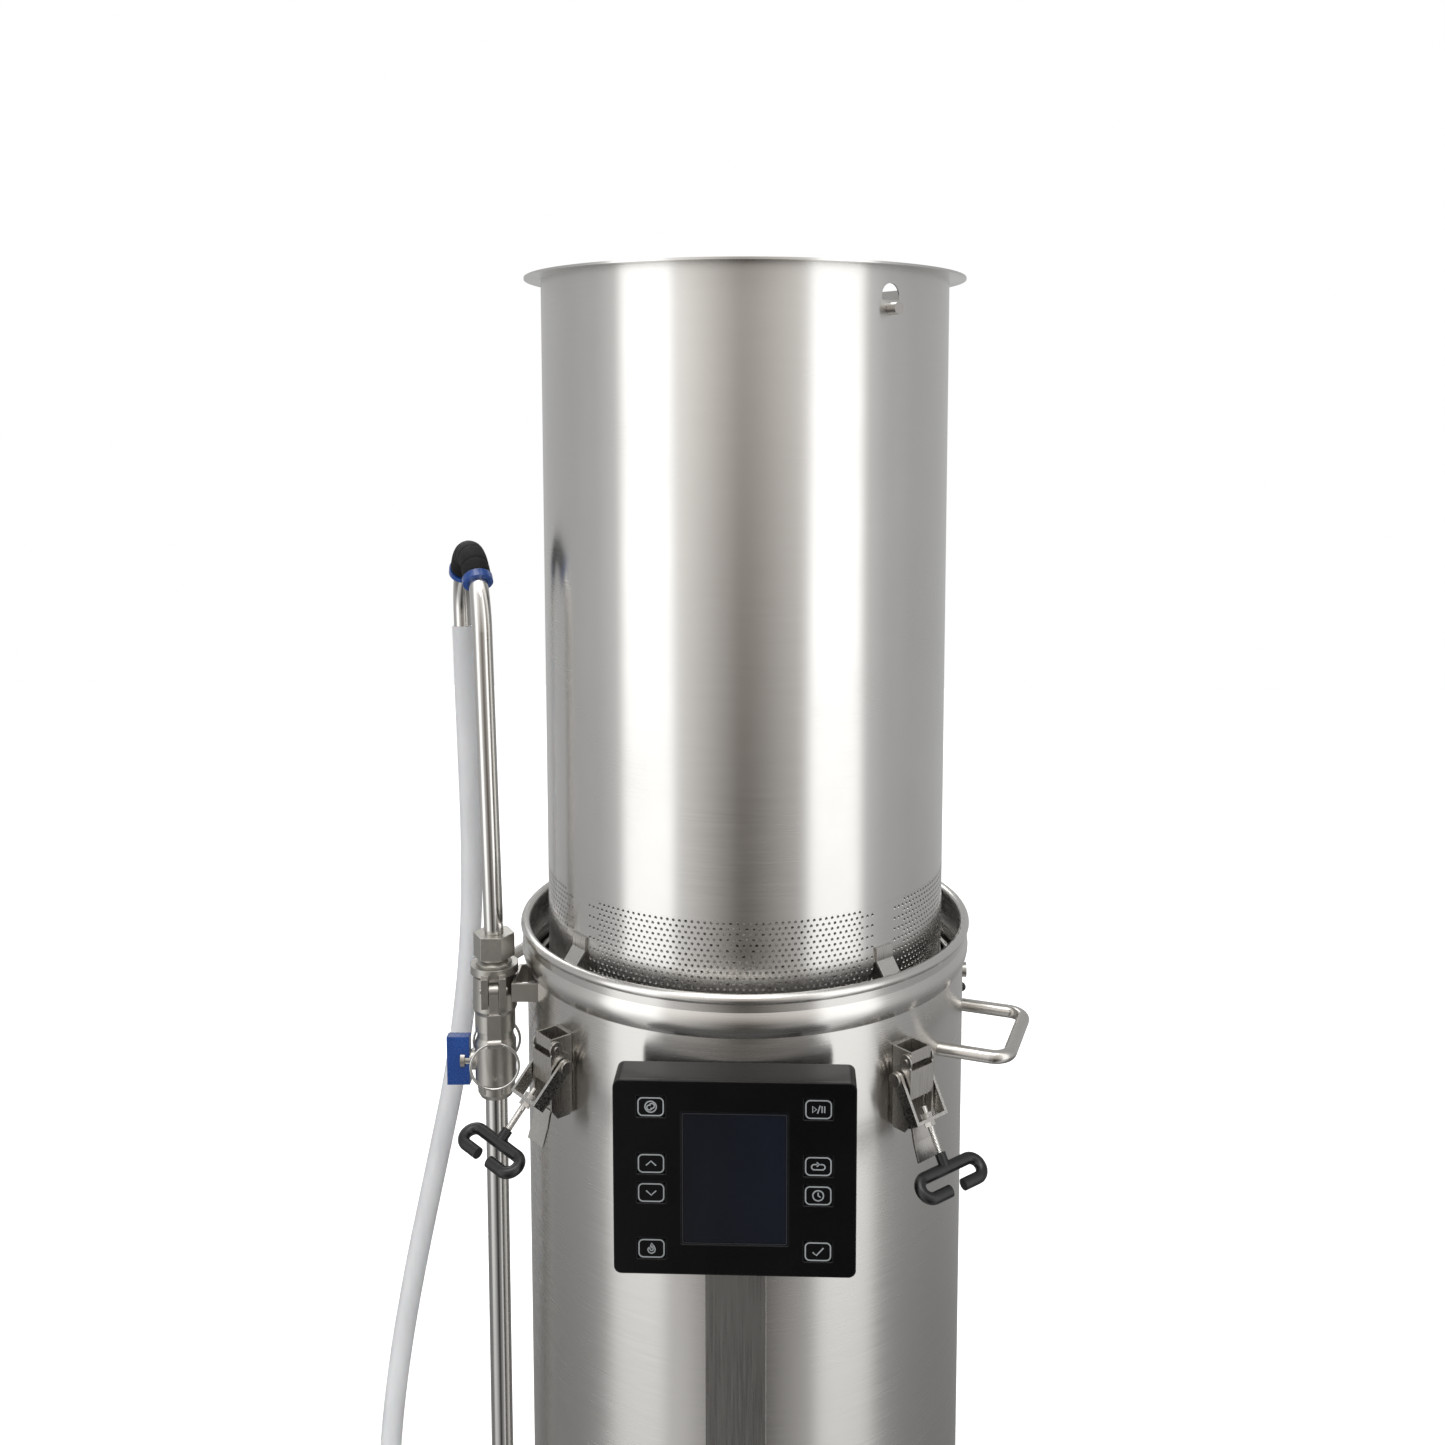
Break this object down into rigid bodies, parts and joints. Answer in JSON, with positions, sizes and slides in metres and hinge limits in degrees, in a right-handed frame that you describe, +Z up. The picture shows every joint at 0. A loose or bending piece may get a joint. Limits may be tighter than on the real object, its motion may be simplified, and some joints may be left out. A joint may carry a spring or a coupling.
{
  "type": "electric all in one brewer",
  "caption": "Tall steel boiler with a control panel, pumped riser and gooseneck, toggle latches and a malt pipe standing raised at its rim.",
  "frame": {"origin": "middle of the boiler's footprint on the floor, on the boiler's axis", "axes": "+Z up along the boiler's axis; the control panel faces -Y; the riser and gooseneck are on the -X side"},
  "size_m": [0.4886, 0.3919, 1.062],
  "materials": {
    "boiler_steel": "fine vertical brushed stainless sheet",
    "malt_steel": "fine vertical brushed stainless sheet, perforated near its foot",
    "screen_steel": "perforated stainless plate",
    "tab_steel": "satin sheet",
    "wire_steel": "bright drawn wire",
    "screw_steel": "satin",
    "bar_steel": "polished round bar",
    "base_plastic": "fine grain moulded",
    "base_sheet": "powder coat",
    "foot_rubber": "matte",
    "element_aluminium": "cast",
    "black_plastic": "moulded",
    "probe_steel": "satin",
    "filter_steel": "woven mesh",
    "motor_black": "satin",
    "pump_plastic": "moulded",
    "silicone": "translucent silicone",
    "board_green": "solder mask",
    "tube_steel": "polished tube",
    "cast_steel": "machined casting",
    "ball_steel": "polished",
    "strip_steel": "satin strip",
    "cam_steel": "cast lever, satin",
    "blue_plastic": "moulded vinyl",
    "grip_foam": "closed-cell foam",
    "latch_steel": "stamped sheet",
    "latch_hook": "stamped strip with a rubber-coated hook",
    "gloss_black": "high gloss",
    "display_glass": "unlit display",
    "key_black": "printed outline and sign",
    "duct_steel": "brushed sheet"
  },
  "bodies": {
    "boiler": {"boiler_shell": "boiler_steel", "support_ring": "wire_steel", "ring_pegs": "screw_steel", "side_handles": "bar_steel", "base_skirt": "base_plastic", "base_plate": "base_sheet", "rubber_feet": "foot_rubber", "foot_screws": "screw_steel", "heating_element": "element_aluminium", "thermal_cutout": "black_plastic", "temperature_probe": "probe_steel", "pump_filter": "filter_steel", "pump_motor": "motor_black", "pump_housing": "pump_plastic", "pump_hoses": "silicone", "power_board": "board_green", "mains_gland": "black_plastic", "riser_pipe": "tube_steel", "valve_body": "cast_steel", "cam_coupler": "cast_steel", "riser_bracket": "strip_steel", "latch_bases": "latch_steel", "control_housing": "gloss_black", "control_fascia": "gloss_black", "display_module": "display_glass", "control_board": "board_green", "cable_duct": "duct_steel"},
    "pump_rotor": {"pump_impeller": "pump_plastic"},
    "valve_handle": {"valve_ball": "ball_steel", "valve_lever": "strip_steel", "valve_sleeve": "blue_plastic"},
    "cam_front": {"cam_lever_front": "cam_steel"},
    "cam_rear": {"cam_lever_rear": "cam_steel"},
    "ring_front": {"pull_ring_front": "wire_steel"},
    "ring_rear": {"pull_ring_rear": "wire_steel"},
    "gooseneck": {"hose_adapter": "cast_steel", "gooseneck_tube": "tube_steel", "grip_sleeve": "grip_foam", "grip_collars": "blue_plastic", "recirculation_hose": "silicone"},
    "malt_pipe": {"malt_pipe_shell": "malt_steel", "malt_pipe_feet": "tab_steel"},
    "screen": {"bottom_screen": "screen_steel"},
    "malt_bail": {"malt_pipe_bail": "bar_steel"},
    "lever_front_right": {"latch_lever_front_right": "latch_steel"},
    "hook_front_right": {"latch_bail_front_right": "latch_hook"},
    "lever_rear_right": {"latch_lever_rear_right": "latch_steel"},
    "hook_rear_right": {"latch_bail_rear_right": "latch_hook"},
    "lever_rear_left": {"latch_lever_rear_left": "latch_steel"},
    "hook_rear_left": {"latch_bail_rear_left": "latch_hook"},
    "lever_front_left": {"latch_lever_front_left": "latch_steel"},
    "hook_front_left": {"latch_bail_front_left": "latch_hook"},
    "key_top_left": {"key_top_left": "key_black"},
    "key_top_right": {"key_top_right": "key_black"},
    "key_upper_left": {"key_upper_left": "key_black"},
    "key_upper_right": {"key_upper_right": "key_black"},
    "key_lower_left": {"key_lower_left": "key_black"},
    "key_lower_right": {"key_lower_right": "key_black"},
    "key_bottom_left": {"key_bottom_left": "key_black"},
    "key_bottom_right": {"key_bottom_right": "key_black"}
  },
  "joints": [
    {"name": "pump_spin", "type": "hinge", "parent": "boiler", "child": "pump_rotor", "pos_m": [-0.06657, -0.02163, 0.064], "axis": [0, 0, 1], "continuous": true},
    {"name": "valve_turn", "type": "hinge", "parent": "boiler", "child": "valve_handle", "pos_m": [-0.1645, -0.0535, 0.545], "axis": [-0.9994, -0.0349, 0], "range_deg": [-90, 0]},
    {"name": "gooseneck_swivel", "type": "hinge", "parent": "boiler", "child": "gooseneck", "pos_m": [-0.1645, -0.0535, 0.61], "axis": [0, 0, 1], "range_deg": [0, 55]},
    {"name": "malt_pipe_lift", "type": "slide", "parent": "boiler", "child": "malt_pipe", "axis": [0, 0, 1], "range_m": [0, 0.46]},
    {"name": "screen_lift", "type": "slide", "parent": "malt_pipe", "child": "screen", "axis": [0, 0, 1], "range_m": [0, 0.28]},
    {"name": "malt_bail_fold", "type": "hinge", "parent": "malt_pipe", "child": "malt_bail", "pos_m": [0, 0, 1.036], "axis": [0.6691, -0.7431, 0], "range_deg": [0, 180]},
    {"name": "cam_front_open", "type": "hinge", "parent": "boiler", "child": "cam_front", "pos_m": [-0.16164, -0.06975, 0.599], "axis": [0.9848, 0.1736, 0], "range_deg": [-110, 0]},
    {"name": "ring_front_swing", "type": "hinge", "parent": "cam_front", "child": "ring_front", "pos_m": [-0.16103, -0.0732, 0.5644], "axis": [-0.9848, -0.1736, 0], "range_deg": [-5, 100]},
    {"name": "cam_rear_open", "type": "hinge", "parent": "boiler", "child": "cam_rear", "pos_m": [-0.16737, -0.03725, 0.599], "axis": [-0.9848, -0.1736, 0], "range_deg": [-110, 0]},
    {"name": "ring_rear_swing", "type": "hinge", "parent": "cam_rear", "child": "ring_rear", "pos_m": [-0.16797, -0.0338, 0.5644], "axis": [0.9848, 0.1736, 0], "range_deg": [-5, 100]},
    {"name": "latch_front_right_open", "type": "hinge", "parent": "boiler", "child": "lever_front_right", "pos_m": [0.10945, -0.11944, 0.5815], "axis": [0.7373, 0.6756, 0], "range_deg": [-80, 0]},
    {"name": "hook_front_right_swing", "type": "hinge", "parent": "lever_front_right", "child": "hook_front_right", "pos_m": [0.1064, -0.11612, 0.57], "axis": [-0.7373, -0.6756, 0], "range_deg": [0, 115]},
    {"name": "latch_rear_right_open", "type": "hinge", "parent": "boiler", "child": "lever_rear_right", "pos_m": [0.11944, 0.10945, 0.5815], "axis": [-0.6756, 0.7373, 0], "range_deg": [-80, 0]},
    {"name": "hook_rear_right_swing", "type": "hinge", "parent": "lever_rear_right", "child": "hook_rear_right", "pos_m": [0.11612, 0.1064, 0.57], "axis": [0.6756, -0.7373, 0], "range_deg": [0, 115]},
    {"name": "latch_rear_left_open", "type": "hinge", "parent": "boiler", "child": "lever_rear_left", "pos_m": [-0.10945, 0.11944, 0.5815], "axis": [-0.7373, -0.6756, 0], "range_deg": [-80, 0]},
    {"name": "hook_rear_left_swing", "type": "hinge", "parent": "lever_rear_left", "child": "hook_rear_left", "pos_m": [-0.1064, 0.11612, 0.57], "axis": [0.7373, 0.6756, 0], "range_deg": [0, 115]},
    {"name": "latch_front_left_open", "type": "hinge", "parent": "boiler", "child": "lever_front_left", "pos_m": [-0.11944, -0.10945, 0.5815], "axis": [0.6756, -0.7373, 0], "range_deg": [-80, 0]},
    {"name": "hook_front_left_swing", "type": "hinge", "parent": "lever_front_left", "child": "hook_front_left", "pos_m": [-0.11612, -0.1064, 0.57], "axis": [-0.6756, 0.7373, 0], "range_deg": [0, 115]},
    {"name": "key_top_left_press", "type": "slide", "parent": "boiler", "child": "key_top_left", "axis": [0, 1, 0], "range_m": [0, 0.0005], "stiffness_N_per_m": 300},
    {"name": "key_top_right_press", "type": "slide", "parent": "boiler", "child": "key_top_right", "axis": [0, 1, 0], "range_m": [0, 0.0005], "stiffness_N_per_m": 300},
    {"name": "key_upper_left_press", "type": "slide", "parent": "boiler", "child": "key_upper_left", "axis": [0, 1, 0], "range_m": [0, 0.0005], "stiffness_N_per_m": 300},
    {"name": "key_upper_right_press", "type": "slide", "parent": "boiler", "child": "key_upper_right", "axis": [0, 1, 0], "range_m": [0, 0.0005], "stiffness_N_per_m": 300},
    {"name": "key_lower_left_press", "type": "slide", "parent": "boiler", "child": "key_lower_left", "axis": [0, 1, 0], "range_m": [0, 0.0005], "stiffness_N_per_m": 300},
    {"name": "key_lower_right_press", "type": "slide", "parent": "boiler", "child": "key_lower_right", "axis": [0, 1, 0], "range_m": [0, 0.0005], "stiffness_N_per_m": 300},
    {"name": "key_bottom_left_press", "type": "slide", "parent": "boiler", "child": "key_bottom_left", "axis": [0, 1, 0], "range_m": [0, 0.0005], "stiffness_N_per_m": 300},
    {"name": "key_bottom_right_press", "type": "slide", "parent": "boiler", "child": "key_bottom_right", "axis": [0, 1, 0], "range_m": [0, 0.0005], "stiffness_N_per_m": 300}
  ]
}
